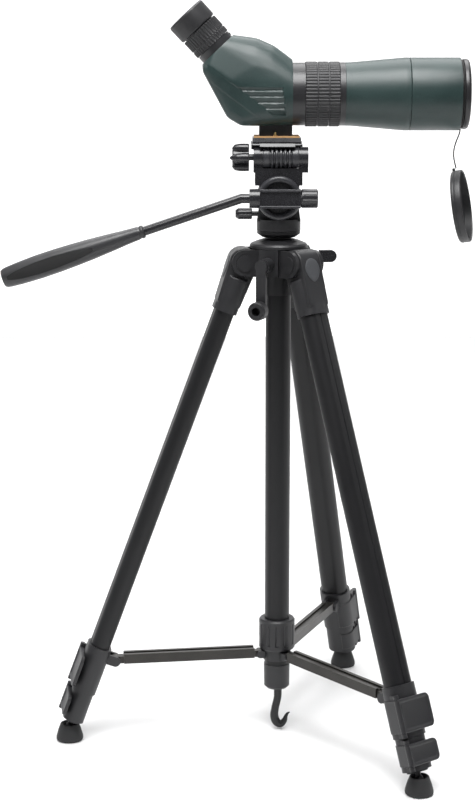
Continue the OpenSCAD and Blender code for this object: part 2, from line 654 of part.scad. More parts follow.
// ---------- eyepiece, measured up from the housing's seat ----------
zoom_low = collar_h + gap;
zoom_top = zoom_low + zoom_h;
cup_low = zoom_top + neck_h;
module eyepiece_tube() color(black) on_eye() difference() {
    union() {
        cylinder(r = 18.8, h = collar_h);
        cylinder(r = 16, h = eye_len - 6);
        translate([0, 0, zoom_top + gap]) cylinder(r = 17.2, h = neck_h - 2 * gap);
        // setscrew's head
        rotate([0, 90, 0]) translate([-3.3, 0, 18]) cylinder(r = 1.4, h = 1.4);
    }
    translate([0, 0, -1]) cylinder(r = 12, h = eye_len);
}
module zoom_ring() color(black) on_eye() translate([0, 0, zoom_low]) difference() {
    cylinder(r = 19.8, h = zoom_h);
    translate([0, 0, -1]) cylinder(r = 16.08, h = zoom_h + 2);
    translate([0, 0, 6.6]) difference() { cylinder(r = 25, h = 0.7); cylinder(r = 19.2, h = 0.7); }
}
module eyecup() color(black) on_eye() translate([0, 0, cup_low]) difference() {
    rotate_extrude() polygon([[0, 0], [eyecup_d / 2 - 1.1, 0], [eyecup_d / 2, 1.4],
        [eyecup_d / 2, 16], [eyecup_d / 2 - 1, eye_len - cup_low - 0.6],
        [eyecup_d / 2 - 2, eye_len - cup_low], [0, eye_len - cup_low]]);
    translate([0, 0, -1]) cylinder(r = 16.08, h = eye_len - 6 - cup_low + 1 + gap);
    translate([0, 0, eye_len - cup_low - 8]) cylinder(r1 = 14, r2 = 15.5, h = 9);
}

spider();
center_tube();
tube_cap();
weight_hook();
column();
column_crank();
column_lock();
brace_hub();
pan_body();
pan_lock();
tilt_block();
handle_rod();
handle_grip();
handle_lock();
flip_platform();
platform_knob();
quick_plate();
plate_pad();
camera_screw();
mount_foot();
prism_housing();
optics();
focus_sleeve();
focus_ring();
barrel();
sunshade();
front_ring();
cord_loop();
cap_cord();
lens_cap();
eyepiece_tube();
zoom_ring();
eyecup();
for (n = LEGS) {
    brace_arm(n);
    leg_casting(n);
    upper_tube(n);
    upper_lock(n);
    upper_lever(n);
    mid_tube(n);
    lower_lever(n);
    low_tube(n);
    foot(n);
}
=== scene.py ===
"""Spotting scope on its pan head and folding stand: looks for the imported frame, in metres."""
import json
import math

import bmesh
import bpy
import numpy as np
from mathutils import Matrix, Vector
from mathutils.bvhtree import BVHTree


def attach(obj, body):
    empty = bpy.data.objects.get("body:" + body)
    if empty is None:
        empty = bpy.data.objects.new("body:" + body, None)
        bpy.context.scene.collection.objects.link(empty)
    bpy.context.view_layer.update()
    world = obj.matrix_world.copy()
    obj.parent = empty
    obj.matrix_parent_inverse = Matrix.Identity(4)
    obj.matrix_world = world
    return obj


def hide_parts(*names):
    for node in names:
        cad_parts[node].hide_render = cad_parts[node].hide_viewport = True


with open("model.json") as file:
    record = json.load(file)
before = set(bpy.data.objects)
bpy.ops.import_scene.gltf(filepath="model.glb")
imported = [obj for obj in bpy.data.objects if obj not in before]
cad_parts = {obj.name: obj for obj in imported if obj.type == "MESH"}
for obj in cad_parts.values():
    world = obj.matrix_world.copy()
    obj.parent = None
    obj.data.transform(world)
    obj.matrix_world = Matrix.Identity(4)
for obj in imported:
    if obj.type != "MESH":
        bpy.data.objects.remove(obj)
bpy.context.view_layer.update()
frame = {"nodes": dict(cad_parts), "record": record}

nodes = frame["nodes"]
scene = bpy.context.scene
MM = 0.001
LEGS = (1, 2, 3)

# ---------------- camera ----------------
cam = bpy.data.cameras.new("camera")
cam.lens = 82.35
cam.sensor_width = 36
camera = bpy.data.objects.new("camera", cam)
camera.location = (-0.0405, -1.802, 0.698)
camera.rotation_euler = (math.radians(79), 0, 0)
scene.collection.objects.link(camera)
scene.camera = camera

# ---------------- materials ----------------
SLOT_OF = {s["node"]: s["material_slot"] for s in frame["record"]["subparts"]}


def finish_of(name, dark, light, rough, metal=0.0, grain=1400.0, relief=0.03, broad=28.0,
              spread=0.1, wear_and_highlight=0.3, wear_and_highlight_colour=None, stretch=(1, 1, 1), cells=0.0, **fixed):
    """Principled finish: mottled colour, uneven gloss, fine relief in mm; pale edges: scuffs plus
    painted highlight.
    """
    mat = bpy.data.materials.new(name)
    mat.use_nodes = True
    tree = mat.node_tree
    shader = tree.nodes["Principled BSDF"]
    shader.inputs["Metallic"].default_value = metal
    for key, value in fixed.items():
        shader.inputs[key.replace("_", " ")].default_value = value

    def node(kind, ins=(), **props):
        made = tree.nodes.new("ShaderNode" + kind)
        for key, value in props.items():
            setattr(made, key, value)
        for key, value in dict(ins).items():
            if isinstance(value, bpy.types.NodeSocket):
                tree.links.new(value, made.inputs[key])
            else:
                made.inputs[key].default_value = value
        return made

    coords = node("TexCoord")
    place = node("Mapping", {"Vector": coords.outputs["Object"], "Scale": stretch}).outputs[0]
    fine = node("TexNoise", {"Vector": place, "Scale": grain, "Detail": 3.0}).outputs["Fac"]
    wide = node("TexNoise", {"Vector": place, "Scale": broad, "Detail": 4.0}).outputs["Fac"]
    height = fine
    if cells:
        cell = node("TexVoronoi", {"Vector": place, "Scale": cells}, feature="SMOOTH_F1")
        height = node("Math", {0: cell.outputs["Distance"], 1: fine}, operation="ADD").outputs[0]
    both = node("Math", {0: wide, 1: height}, operation="ADD").outputs[0]
    share = node("MapRange", {"Value": both, "From Min": 0.7, "From Max": 1.3}).outputs[0]
    tint = node("Mix", {0: share, 6: (*dark, 1), 7: (*light, 1)}, data_type="RGBA").outputs[2]
    gloss = node("MapRange", {"Value": both, "From Min": 0.65, "From Max": 1.35,
                              "To Min": rough - spread / 2, "To Max": rough + spread}).outputs[0]
    # Edges found where the rounded normal leaves the flat one, in patches: paler, partly scuffing
    # and partly a painted edge highlight.
    if wear_and_highlight:
        rounded = node("Bevel", {"Radius": 0.0007}, samples=4).outputs[0]
        flat = node("NewGeometry").outputs["Normal"]
        same = node("VectorMath", {0: rounded, 1: flat}, operation="DOT_PRODUCT").outputs["Value"]
        edge = node("MapRange", {"Value": same, "From Min": 0.995, "From Max": 0.86,
                                 "To Max": wear_and_highlight}).outputs[0]
        patch = node("MapRange", {"Value": wide, "From Min": 0.35, "From Max": 0.6}).outputs[0]
        wear_and_highlight_mask = node("Math", {0: edge, 1: patch}, operation="MULTIPLY").outputs[0]
        wear_and_highlight_tint = wear_and_highlight_colour or [2.6 * c + 0.01 for c in light]
        tint = node("Mix", {0: wear_and_highlight_mask, 6: tint, 7: (*wear_and_highlight_tint, 1)}, data_type="RGBA").outputs[2]
    tree.links.new(tint, shader.inputs["Base Color"])
    tree.links.new(gloss, shader.inputs["Roughness"])
    bump = node("Bump", {"Height": height, "Distance": relief * MM, "Strength": 1.0})
    tree.links.new(bump.outputs[0], shader.inputs["Normal"])
    return mat


# Each finish's pale edge share stands partly for scuffing and partly for a painted edge highlight.
FINISH = {
    "black_plastic": finish_of("black_plastic", (0.013, 0.013, 0.0145), (0.022, 0.022, 0.024),
                               0.42, grain=2200, relief=0.02),
    "black_tube": finish_of("black_tube", (0.008, 0.008, 0.009), (0.012, 0.012, 0.013), 0.38,
                            stretch=(1, 1, 0.06), grain=2600, relief=0.008, wear_and_highlight=0.4,
                            Specular_IOR_Level=0.34),
    "arm_metal": finish_of("arm_metal", (0.022, 0.021, 0.019), (0.045, 0.042, 0.038), 0.32,
                           metal=0.45, grain=1800, relief=0.01, wear_and_highlight=0.6),
    "black_steel": finish_of("black_steel", (0.012, 0.012, 0.012), (0.024, 0.024, 0.025), 0.28,
                             metal=0.3, grain=1500, relief=0.02, wear_and_highlight=0.6),
    "foot_rubber": finish_of("foot_rubber", (0.013, 0.013, 0.014), (0.022, 0.022, 0.023), 0.62,
                             grain=1700, relief=0.05, wear_and_highlight=0.15),
    "grip_foam": finish_of("grip_foam", (0.007, 0.007, 0.007), (0.012, 0.012, 0.0125), 0.75,
                           grain=2600, relief=0.06, wear_and_highlight=0.1, cells=1300),
    "cork": finish_of("cork", (0.30, 0.145, 0.05), (0.62, 0.36, 0.16), 0.8, grain=1100,
                      relief=0.1, wear_and_highlight=0.0, cells=620, broad=160),
    "screw_brass": finish_of("screw_brass", (0.45, 0.30, 0.12), (0.72, 0.52, 0.24), 0.28,
                             metal=1.0, grain=900, relief=0.006, wear_and_highlight=0.3,
                             wear_and_highlight_colour=(0.9, 0.72, 0.42)),
    "green_armour": finish_of("green_armour", (0.012, 0.027, 0.026), (0.022, 0.044, 0.042), 0.38,
                              grain=1500, relief=0.035, wear_and_highlight=0.2, wear_and_highlight_colour=(0.07, 0.12, 0.11)),
    "scope_black": finish_of("scope_black", (0.012, 0.012, 0.0135), (0.02, 0.02, 0.022), 0.32,
                             grain=2400, relief=0.01, wear_and_highlight=0.35),
    "ring_rubber": finish_of("ring_rubber", (0.014, 0.014, 0.0155), (0.024, 0.024, 0.026), 0.46,
                             grain=2000, relief=0.03, wear_and_highlight=0.25),
    "cord": finish_of("cord", (0.008, 0.008, 0.008), (0.02, 0.019, 0.018), 0.7, grain=5000,
                      relief=0.08, wear_and_highlight=0.0),
    "grip_skin": finish_of("grip_skin", (0.026, 0.026, 0.028), (0.038, 0.038, 0.041), 0.36,
                           grain=2400, relief=0.03, wear_and_highlight=0.15),
    "pad_grey": finish_of("pad_grey", (0.045, 0.047, 0.052), (0.065, 0.067, 0.072), 0.45,
                          grain=2200, relief=0.02, wear_and_highlight=0.1),
    # Lighter copy of the gloss plastic: a satin finish with painted sheen for faces that catch the
    # top light.
    "painted_sheen_plastic": finish_of("painted_sheen_plastic", (0.024, 0.0245, 0.028), (0.036, 0.0365, 0.041),
                               0.26, grain=1200, relief=0.012, wear_and_highlight=0.5),
    "gloss_plastic": finish_of("gloss_plastic", (0.012, 0.012, 0.014), (0.02, 0.02, 0.023),
                               0.22, grain=1200, relief=0.012, wear_and_highlight=0.5),
    "glass": finish_of("glass", (0.004, 0.006, 0.010), (0.006, 0.009, 0.016), 0.03, grain=30,
                       relief=0.0, spread=0.01, wear_and_highlight=0.0, Coat_Weight=1.0, Coat_Roughness=0.02,
                       Coat_Tint=(0.55, 0.75, 0.95, 1.0)),
}

# ---------------- mesh tools ----------------
SCOPE_H = 650.5
EYE = (-59.6, 0.0, 692.9)
EYE_TURN = math.radians(-43)
PIVOT = (36.0, 0.0, 488.0)
SPREAD = math.radians(20.6)
LEG_LEN = 506
LEG_AZ = {1: 188, 2: 308, 3: 68}
# flip levers: casting's width and thickness, lever's top and bottom down the leg, casting's body
LEVERS = {"upper": ((34, 24.4), 427.3, 459.3, "leg"), "lower": ((31, 21.6), 470.3, 491.2, "mid")}
TILT_H = 551.5
SLEEVE_Y = -27.2
CRANK_H = 487


def at(x, y, z, turn=0.0, axis="Y"):
    """Places a piece drawn in millimetres: turned about axis, then moved."""
    return Matrix.Scale(MM, 4) @ Matrix.Translation((x, y, z)) @ Matrix.Rotation(turn, 4, axis)


ON_SCOPE = at(0, 0, SCOPE_H, math.pi / 2)
ON_EYE = at(*EYE, EYE_TURN)


def on_leg(n):
    """Leg n's frame in millimetres: +X outward through its thickness, +Y across, -Z down it."""
    return (Matrix.Scale(MM, 4) @ Matrix.Rotation(math.radians(LEG_AZ[n]), 4, "Z")
            @ Matrix.Translation(PIVOT) @ Matrix.Rotation(-SPREAD, 4, "Y"))


def soft(points, radius, closed=True):
    """Rounds the corners of a profile, three steps to a corner."""
    out = []
    count = len(points)
    for i, p in enumerate(points):
        if not closed and i in (0, count - 1):
            out.append(tuple(p))
            continue
        p, a, b = (Vector(q) for q in (p, points[i - 1], points[(i + 1) % count]))
        cut_a = p + (a - p).normalized() * min(radius, 0.45 * (a - p).length)
        cut_b = p + (b - p).normalized() * min(radius, 0.45 * (b - p).length)
        for t in (0.0, 0.33, 0.67, 1.0):
            q = cut_a * (1 - t) ** 2 + p * 2 * t * (1 - t) + cut_b * t * t
            out.append(tuple(q))
    return out


def piece(name, verts, faces, slot, body, replaced=(), sharp=38, place=None):
    """Makes a piece that rides on body and stands for the replaced CAD nodes."""
    mesh = bpy.data.meshes.new(name)
    mesh.from_pydata([tuple(v) for v in verts], [], faces)
    if place:
        mesh.transform(place)
    bm = bmesh.new()
    bm.from_mesh(mesh)
    bmesh.ops.remove_doubles(bm, verts=bm.verts, dist=2e-6)
    bmesh.ops.recalc_face_normals(bm, faces=bm.faces)
    bm.to_mesh(mesh)
    bm.free()
    obj = bpy.data.objects.new(name, mesh)
    scene.collection.objects.link(obj)
    dress(obj, slot, sharp)
    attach(obj, body)
    if replaced:
        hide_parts(*replaced)
    return obj


def dress(obj, slot, sharp=38):
    """Gives a mesh its finish and smooth shading broken at sharp edges."""
    obj.data.materials.clear()
    obj.data.materials.append(FINISH[slot])
    obj.data.shade_smooth()
    obj.data.set_sharp_from_angle(angle=math.radians(sharp))


def lathe(name, profile, place, slot, body, replaced=(), turns=128, shape=None, sharp=38):
    """Turns a closed (height, radius) profile about local Z; shape(angle, h, r) gives r there."""
    verts, faces = [], []
    rows = len(profile)
    for k in range(turns):
        angle = 2 * math.pi * k / turns
        for h, r in profile:
            r = shape(angle, h, r) if shape else r
            verts.append((r * math.cos(angle), r * math.sin(angle), h))
    for k in range(turns):
        a, b = k * rows, (k + 1) % turns * rows
        for i in range(rows):
            j = (i + 1) % rows
            if profile[i][1] or profile[j][1]:
                faces.append((a + i, a + j, b + j, b + i))
    return piece(name, verts, faces, slot, body, replaced, sharp, place)


def ribbed(count, depth, bands, share=0.34):
    """Cuts rounded grooves along the axis inside each (low, high) band of a turned ring."""
    def shape(angle, h, r):
        if not any(low <= h <= high for low, high in bands):
            return r
        phase = (angle * count / (2 * math.pi)) % 1.0
        off = abs(phase - 0.5) * 2
        return r - depth * min(1.0, max(0.0, (share * 2 - off) / share))
    return shape


# ---------------- cap cord ----------------
ROUTE = [(176.6, 617.0), (176.3, 614), (175.2, 610.5), (173.8, 607), (172.4, 603), (171.3, 599),
         (170.8, 595), (170.8, 591), (171.3, 587.5), (172.1, 584), (172.9, 581), (173.4, 578.6)]
curve = bpy.data.curves.new("cap_lanyard", "CURVE")
curve.dimensions = "3D"
curve.bevel_depth = 0.65 * MM
curve.bevel_resolution = 4
spline = curve.splines.new("POLY")
spline.points.add(len(ROUTE) - 1)
for point, (x, z) in zip(spline.points, ROUTE):
    point.co = (x * MM, 0, z * MM, 1)
lanyard = bpy.data.objects.new("cap_lanyard", curve)
scene.collection.objects.link(lanyard)
curve.materials.append(FINISH["cord"])
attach(lanyard, "cap")
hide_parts("cap_cord")

# ---------------- CAD nodes that stay ----------------
GLOSSY = ("tilt_block", "handle_lock", "pan_lock", "handle_rod", "column_lock", "flip_platform")
# The quick plate takes the lighter plastic, its colour painting the sheen its sloped faces catch.
SPECIAL = {"quick_plate": "painted_sheen_plastic", **{name: "gloss_plastic" for name in GLOSSY}}
BEVEL = {"weight_hook": 0.0, "plate_pad": 0.0, "optics": 0.0, "handle_rod": 0.0}
for name, obj in nodes.items():
    dress(obj, SPECIAL.get(name, SLOT_OF[name]), 32)
    width = BEVEL.get(name, 0.45)
    if width:
        bevel = obj.modifiers.new("bevel", "BEVEL")
        bevel.width = width * MM
        bevel.segments = 2
        bevel.limit_method = "ANGLE"
        bevel.angle_limit = math.radians(38)
        bevel.harden_normals = False

# ---------------- scope ----------------
def turned(name, outline, gap_round, place, slot, body, replaced=(), **more):
    """A lathe piece whose outline is (height, radius) with rounded corners."""
    return lathe(name, soft(outline, gap_round), place, slot, body, replaced, **more)


turned("objective_tube", [(63.6, 24), (63.6, 30.4), (69, 30.5), (120, 34.9), (121.3, 35),
                          (125.9, 35), (125.9, 33.3), (172, 33.3), (172, 31.6), (126, 31.6),
                          (68, 27)], 0.5, ON_SCOPE, "green_armour", "scope", ["barrel"], turns=160)
turned("slide_shade", [(126.2, 33.38), (126.2, 35), (174.8, 35), (174.8, 33.38)], 0.5, ON_SCOPE,
       "green_armour", "shade", ["sunshade"], turns=160)
turned("shade_rim", [(174.8, 31), (174.8, 34.7), (175.3, 34.7), (175.7, 32.1), (177.4, 32.1),
                     (177.8, 33.6), (181.0, 33.7), (182.6, 33.1), (183.2, 32.0), (183.2, 30.8),
                     (182.2, 30.4), (178, 30.4)], 0.35, ON_SCOPE, "scope_black", "shade",
       ["front_ring"], turns=160)

FOCUS = 31.2
bands = [(25.1, 36.4), (37.2, 47.4), (48.2, 58.1)]
outline = []
for low, high in bands:
    outline += [(low, FOCUS - 0.9), (low + 0.1, FOCUS - 0.4), (low + 0.6, FOCUS),
                (high - 0.6, FOCUS), (high - 0.1, FOCUS - 0.4), (high, FOCUS - 0.9)]
outline += [(58.1, 27.58), (25.1, 27.58)]
lathe("focus_grip", outline, ON_SCOPE, "ring_rubber", "focus_ring", ["focus_ring"], turns=58 * 10,
      shape=ribbed(58, 0.8, [(a + 0.5, b - 0.5) for a, b in bands]), sharp=30)

ZOOM = 19.8
zoom_bands = [(6.9, 13.1), (13.9, 26.3)]
outline = []
for low, high in zoom_bands:
    outline += [(low, ZOOM - 0.8), (low + 0.1, ZOOM - 0.4), (low + 0.6, ZOOM),
                (high - 0.6, ZOOM), (high - 0.1, ZOOM - 0.4), (high, ZOOM - 0.8)]
outline += [(26.3, 16.08), (6.9, 16.08)]
lathe("zoom_grip", outline, ON_EYE, "ring_rubber", "zoom_ring", ["zoom_ring"], turns=40 * 10,
      shape=ribbed(40, 0.7, [(a + 0.5, b - 0.5) for a, b in zoom_bands]), sharp=30)
turned("eye_cup", [(27.3, 16.08), (27.3, 19.6), (28.6, 20.4), (44.6, 20.5),
                   (46.2, 19.4), (46.2, 16.4), (45.2, 15.5), (38.2, 14.0), (38.2, 16.08)], 0.6,
       ON_EYE, "ring_rubber", "eyecup", ["eyecup"])


def ball(x, y, z, r):
    """Points spread evenly over a ball, for a hull to be pulled over."""
    out = []
    for k in range(260):
        up = 1 - (k + 0.5) / 130
        flat = math.sqrt(1 - up * up)
        turn = k * math.pi * (3 - math.sqrt(5))
        out.append((x + r * flat * math.cos(turn), y + r * flat * math.sin(turn), z + r * up))
    return out


def ring(r, z, place=Matrix.Identity(4), count=72, w=0.0):
    """Points round a circle at height z, spread sideways by w either way for an oval."""
    out = []
    for k in range(count):
        a = 2 * math.pi * k / count
        y = r * math.sin(a)
        out.append(tuple(place @ Vector((r * math.cos(a), y + math.copysign(w, y), z))))
    return out


def moulded(name, hulls, voxel, rounds, cuts, place, slot, body, replaced=(), edit=None, sharp=60):
    """Hulls of points merged, rounded like a moulding, cut flat at each (point, normal)."""
    bm = bmesh.new()
    for points in hulls:
        part = bmesh.new()
        for point in points:
            part.verts.new(point)
        made = bmesh.ops.convex_hull(part, input=part.verts)
        spare = {g for g in made["geom_interior"] + made["geom_unused"]
                 if isinstance(g, bmesh.types.BMVert)}
        bmesh.ops.delete(part, geom=list(spare), context="VERTS")
        bmesh.ops.recalc_face_normals(part, faces=part.faces)
        temp = bpy.data.meshes.new("part")
        part.to_mesh(temp)
        part.free()
        bm.from_mesh(temp)
    mesh = bpy.data.meshes.new("rough")
    bm.to_mesh(mesh)
    bm.free()
    obj = bpy.data.objects.new("rough", mesh)
    scene.collection.objects.link(obj)
    remesh = obj.modifiers.new("remesh", "REMESH")
    remesh.mode = "VOXEL"
    remesh.voxel_size = voxel
    smooth = obj.modifiers.new("smooth", "SMOOTH")
    smooth.factor = 0.5
    smooth.iterations = rounds
    done = bpy.data.meshes.new_from_object(obj.evaluated_get(
        bpy.context.evaluated_depsgraph_get()))
    bpy.data.objects.remove(obj)
    bm = bmesh.new()
    bm.from_mesh(done)
    for point, normal in cuts:
        bmesh.ops.bisect_plane(bm, geom=bm.verts[:] + bm.edges[:] + bm.faces[:], plane_co=point,
                               plane_no=normal, clear_outer=True)
        bmesh.ops.holes_fill(bm, edges=[e for e in bm.edges if e.is_boundary], sides=0)
    bm.to_mesh(done)
    bm.free()
    co = np.array([tuple(v.co) for v in done.vertices])
    if edit:
        co = edit(co, np.array([tuple(n.vector) for n in done.vertex_normals]))
    return piece(name, co.tolist(), [tuple(f.vertices) for f in done.polygons], slot, body,
                 replaced, sharp, place)


def ease(t):
    t = np.clip(t, 0, 1)
    return t * t * (3 - 2 * t)


# ---------------- prism housing ----------------
SEAT = Vector((EYE[0], 0, EYE[2] - SCOPE_H))
EYE_DIR = Matrix.Rotation(EYE_TURN, 3, "Y") @ Vector((0, 0, 1))
body_points = [q for x, z, y in [(-64.6, 24.4, 14), (-43.2, -15, 16), (-34.5, -20.2, 16),
                                 (-18, 4, 20.5), (-46, 12, 19)]
               for side in (-1, 1) for q in ball(x, side * y, z, 9.8)]
for x, top, wide in ((-37, 45.8, 18), (-24, 44, 19.8), (-10, 37.8, 20.4), (0, 30.6, 20.5)):
    for step in range(-6, 7):
        lean = math.pi * step / 12
        body_points += ball(x, wide * math.sin(lean), 4 + (top - 4) * math.cos(lean), 9.8)
for height in (4, 15.5):
    body_points += ring(30.9, height, Matrix.Rotation(math.pi / 2, 4, "Y"))
for height in (-8, 2.5):
    body_points += ring(18.5, height, Matrix.Translation(SEAT) @ Matrix.Rotation(EYE_TURN, 4, "Y"))


def louvres(co, normal):
    """Sinks five raked louvres and two creases into both sides of the housing."""
    x, z = co[:, 0], co[:, 2]
    side = np.clip((np.abs(normal[:, 1]) - 0.4) / 0.25, 0, 1)
    depth = np.zeros(len(co))
    for i in range(5):
        ledge, left, right = 4.2 - 5.83 * i, -37.0 + 7.5 * i, 3.4 + 0.75 * i
        run = 3.2 if i == 0 else 4.9
        rake = left - (z - ledge) * 1.1
        inside = ease((x - rake) / 1.0) * ease((right - x) / 0.8)
        up = z - ledge
        profile = np.where(up > 0, np.clip(1 - up / run, 0, 1), np.clip(1 + up / 1.3, 0, 1))
        depth = np.maximum(depth, 1.7 * inside * profile)
    for offset, deep in ((0.0, 0.5), (11.5, 0.35)):
        out = ((x + 59.5) * -40.2 - (z - 22.0) * 54.5) / 67.7 - offset
        depth = depth + deep * ease(out / 1.6) * ease((-8 - 0.3 * offset - x) / 14)
    return co - normal * (depth * side)[:, None]


moulded("prism_body", [body_points], 0.62, 90,
        [(Vector((12.6, 0, 0)), Vector((1, 0, 0))), (SEAT, EYE_DIR)], at(0, 0, SCOPE_H),
        "green_armour", "scope", ["prism_housing"], louvres, 50)

# ---------------- legs ----------------
for n in LEGS:
    leg = on_leg(n)
    name = f"leg_{n}"
    knuckle = [(14.3 * math.cos(a / 20), y, 14.3 * math.sin(a / 20)) for a in range(126)
               for y in (-12.6, 12.6)]
    neck = knuckle + [(x, y, -44.0) for x in (-11.9, 11.9) for y in (-12.6, 12.6)]
    sleeve = ring(12.2, -16.5, w=4.7) + ring(12.2, -60, w=4.7)
    shoulder = moulded(f"leg_shoulder_{n}", [neck, sleeve], 0.8, 10,
                       [(Vector((0, 0, -52)), Vector((0, 0, -1)))], leg, "black_plastic", name,
                       [f"leg_casting_{n}"], None, 50)

    # pad on the shoulder's outer face, laid on its surface
    tree = BVHTree.FromPolygons([v.co for v in shoulder.data.vertices],
                                [tuple(f.vertices) for f in shoulder.data.polygons])
    inward = (leg.to_3x3() @ Vector((-1, 0, 0))).normalized()
    steps = [(1.0, -0.8), (1.0, 0.3), (0.94, 0.65), (0.7, 0.7), (0.45, 0.7), (0.2, 0.7)]
    count = 48
    verts, faces = [], []
    for share, lift in steps:
        for k in range(count):
            a = 2 * math.pi * k / count
            across = 8.8 * math.cos(a) * (1 - 0.28 * max(0.0, -math.sin(a)))
            spot = leg @ Vector((40, share * across, -9.5 + share * 11.5 * math.sin(a)))
            hit = tree.ray_cast(spot, inward)[0]
            verts.append(leg.inverted() @ hit + Vector((lift, 0, 0)))
    for j in range(len(steps) - 1):
        for k in range(count):
            m = (k + 1) % count
            faces.append((j * count + k, j * count + m, (j + 1) * count + m, (j + 1) * count + k))
    faces += [tuple(range((len(steps) - 1) * count, len(steps) * count)),
              tuple(range(count - 1, -1, -1))]
    piece(f"shoulder_pad_{n}", verts, faces, "pad_grey", name, place=leg)


def lever_piece(n, tag, case, low, high):
    """Flip lever: hinge barrel and a plate with a raised rim on its three free sides."""
    w, t = case
    hinge = (t / 2 + 1.6, -w / 2 - 0.6)
    start, free, back = hinge[1] + 0.2, w / 2 + 4.5, t / 2 + 0.3
    verts, faces = [], []

    def outline(cut, near):
        pts, r = [], max(5.0 - cut * 0.7, 1.5)
        y1, z0, z1 = free - cut, -high + cut, -low - cut
        pts += [(start + near, z1), (start + near, z0)]
        for cy, cz, first in ((y1 - r, z0 + r, -90), (y1 - r, z1 - r, 0)):
            for k in range(9):
                a = math.radians(first + 90 * k / 8)
                pts.append((cy + r * math.cos(a), cz + r * math.sin(a)))
        return pts

    for cut, near, x in ((0.5, 0.5, 0), (0, 0, 0.5), (0, 0, 2.9), (0.45, 0.2, 3.35),
                         (1.1, 0.3, 3.55), (2.2, 0.4, 3.5), (2.9, 0.5, 3.0), (3.5, 0.6, 2.5),
                         (4.2, 1.0, 2.35)):
        verts += [(back + x, y, z) for y, z in outline(cut, near)]
    count = 20
    rows = len(verts) // count
    for j in range(rows - 1):
        for k in range(count):
            m = (k + 1) % count
            faces.append((j * count + k, j * count + m, (j + 1) * count + m, (j + 1) * count + k))
    faces += [tuple(range((rows - 1) * count, rows * count)), tuple(range(count - 1, -1, -1))]
    first = len(verts)
    around = 24
    for z, r in ((-high, 2.2), (-high + 0.4, 2.6), (-low - 0.4, 2.6), (-low, 2.2)):
        for k in range(around):
            a = 2 * math.pi * k / around
            verts.append((hinge[0] + r * math.cos(a), hinge[1] + r * math.sin(a), z))
    for j in range(3):
        for k in range(around):
            m = (k + 1) % around
            faces.append(tuple(first + q for q in (j * around + k, j * around + m,
                                                   (j + 1) * around + m, (j + 1) * around + k)))
    faces += [tuple(first + k for k in range(3 * around, 4 * around)),
              tuple(first + k for k in range(around - 1, -1, -1))]
    piece(f"{tag}_flip_{n}", verts, faces, "black_plastic", f"{tag}_lever_{n}",
          [f"{tag}_lever_{n}"], place=on_leg(n))


for n in LEGS:
    for tag, (case, low, high, _) in LEVERS.items():
        lever_piece(n, tag, case, low, high)
    foot = (Matrix.Scale(MM, 4) @ Matrix.Rotation(math.radians(LEG_AZ[n]), 4, "Z")
            @ Matrix.Translation((PIVOT[0] + LEG_LEN * math.sin(SPREAD), 0, 0)))
    ball_z = PIVOT[2] - LEG_LEN * math.cos(SPREAD)
    turned(f"foot_bell_{n}", [(0, 0), (0, 11.8), (0.8, 13.2), (2.2, 13.7), (4.4, 13.6),
                              (11.5, 11.6), (16.2, 9.8), (17.6, 9.3), (18, 8.6), (17.4, 7.9),
                              (ball_z + 1.5, 5.6), (ball_z - 1, 5.0), (ball_z - 4.9, 0)],
           0.7, foot, "foot_rubber", f"foot_{n}", [f"foot_{n}"], turns=72)

    for tag, ((w, t), low, high, rides) in LEVERS.items():
        side = [(x, y - w / 2 + t / 2) for x, y, _ in ring(t / 2 + 0.8, 0, count=40)
                if y < 0.1]
        side += [(x + t / 2 + 1.4, y - w / 2 - 0.4) for x, y, _ in ring(2.2, 0, count=20)]
        moulded(f"{tag}_hinge_cheek_{n}", [[(x, y, z) for x, y in side for z in (-low, -high)]],
                0.7, 2, [], on_leg(n), "black_plastic", f"{rides}_{n}")


def swept(name, path, place, slot, body, replaced=(), squeeze=0.85, around=20):
    """A rod of changing thickness along (x, z, radius) points in the plane Y = 0."""
    fine = []
    for i in range(len(path) - 1):
        p = [Vector(path[min(max(i + d, 0), len(path) - 1)]) for d in (-1, 0, 1, 2)]
        for k in range(6):
            t = k / 6
            fine.append(0.5 * (2 * p[1] + (p[2] - p[0]) * t
                               + (2 * p[0] - 5 * p[1] + 4 * p[2] - p[3]) * t * t
                               + (3 * p[1] - p[0] - 3 * p[2] + p[3]) * t ** 3))
    fine.append(Vector(path[-1]))
    verts, faces = [], []
    for i, (x, z, r) in enumerate(fine):
        ahead, behind = fine[min(i + 1, len(fine) - 1)], fine[max(i - 1, 0)]
        run = Vector((ahead.x - behind.x, ahead.y - behind.y)).normalized()
        for k in range(around):
            a = 2 * math.pi * k / around
            off = r * math.cos(a)
            verts.append((x - run.y * off, squeeze * r * math.sin(a), z + run.x * off))
    for i in range(len(fine) - 1):
        for k in range(around):
            m = (k + 1) % around
            faces.append(tuple(i * around + q for q in (k, m, around + m, around + k)))
    faces += [tuple(range(around - 1, -1, -1)),
              tuple(range((len(fine) - 1) * around, len(fine) * around))]
    return piece(name, verts, faces, slot, body, replaced, 50, place)


swept("bag_hook", [(1.2, 48, 4.1), (1.2, 41, 4.1), (0.9, 33.5, 4.0), (-1.4, 23, 4.0),
                   (-2.4, 14.5, 4.3), (-0.2, 7.8, 4.5), (4.2, 5.4, 4.0), (8.0, 8.8, 3.0),
                   (9.6, 13.4, 2.0), (11.4, 16.6, 1.3), (13.8, 17.9, 0.5)], at(0, 0, 0),
      "black_steel", "hook", ["weight_hook"])

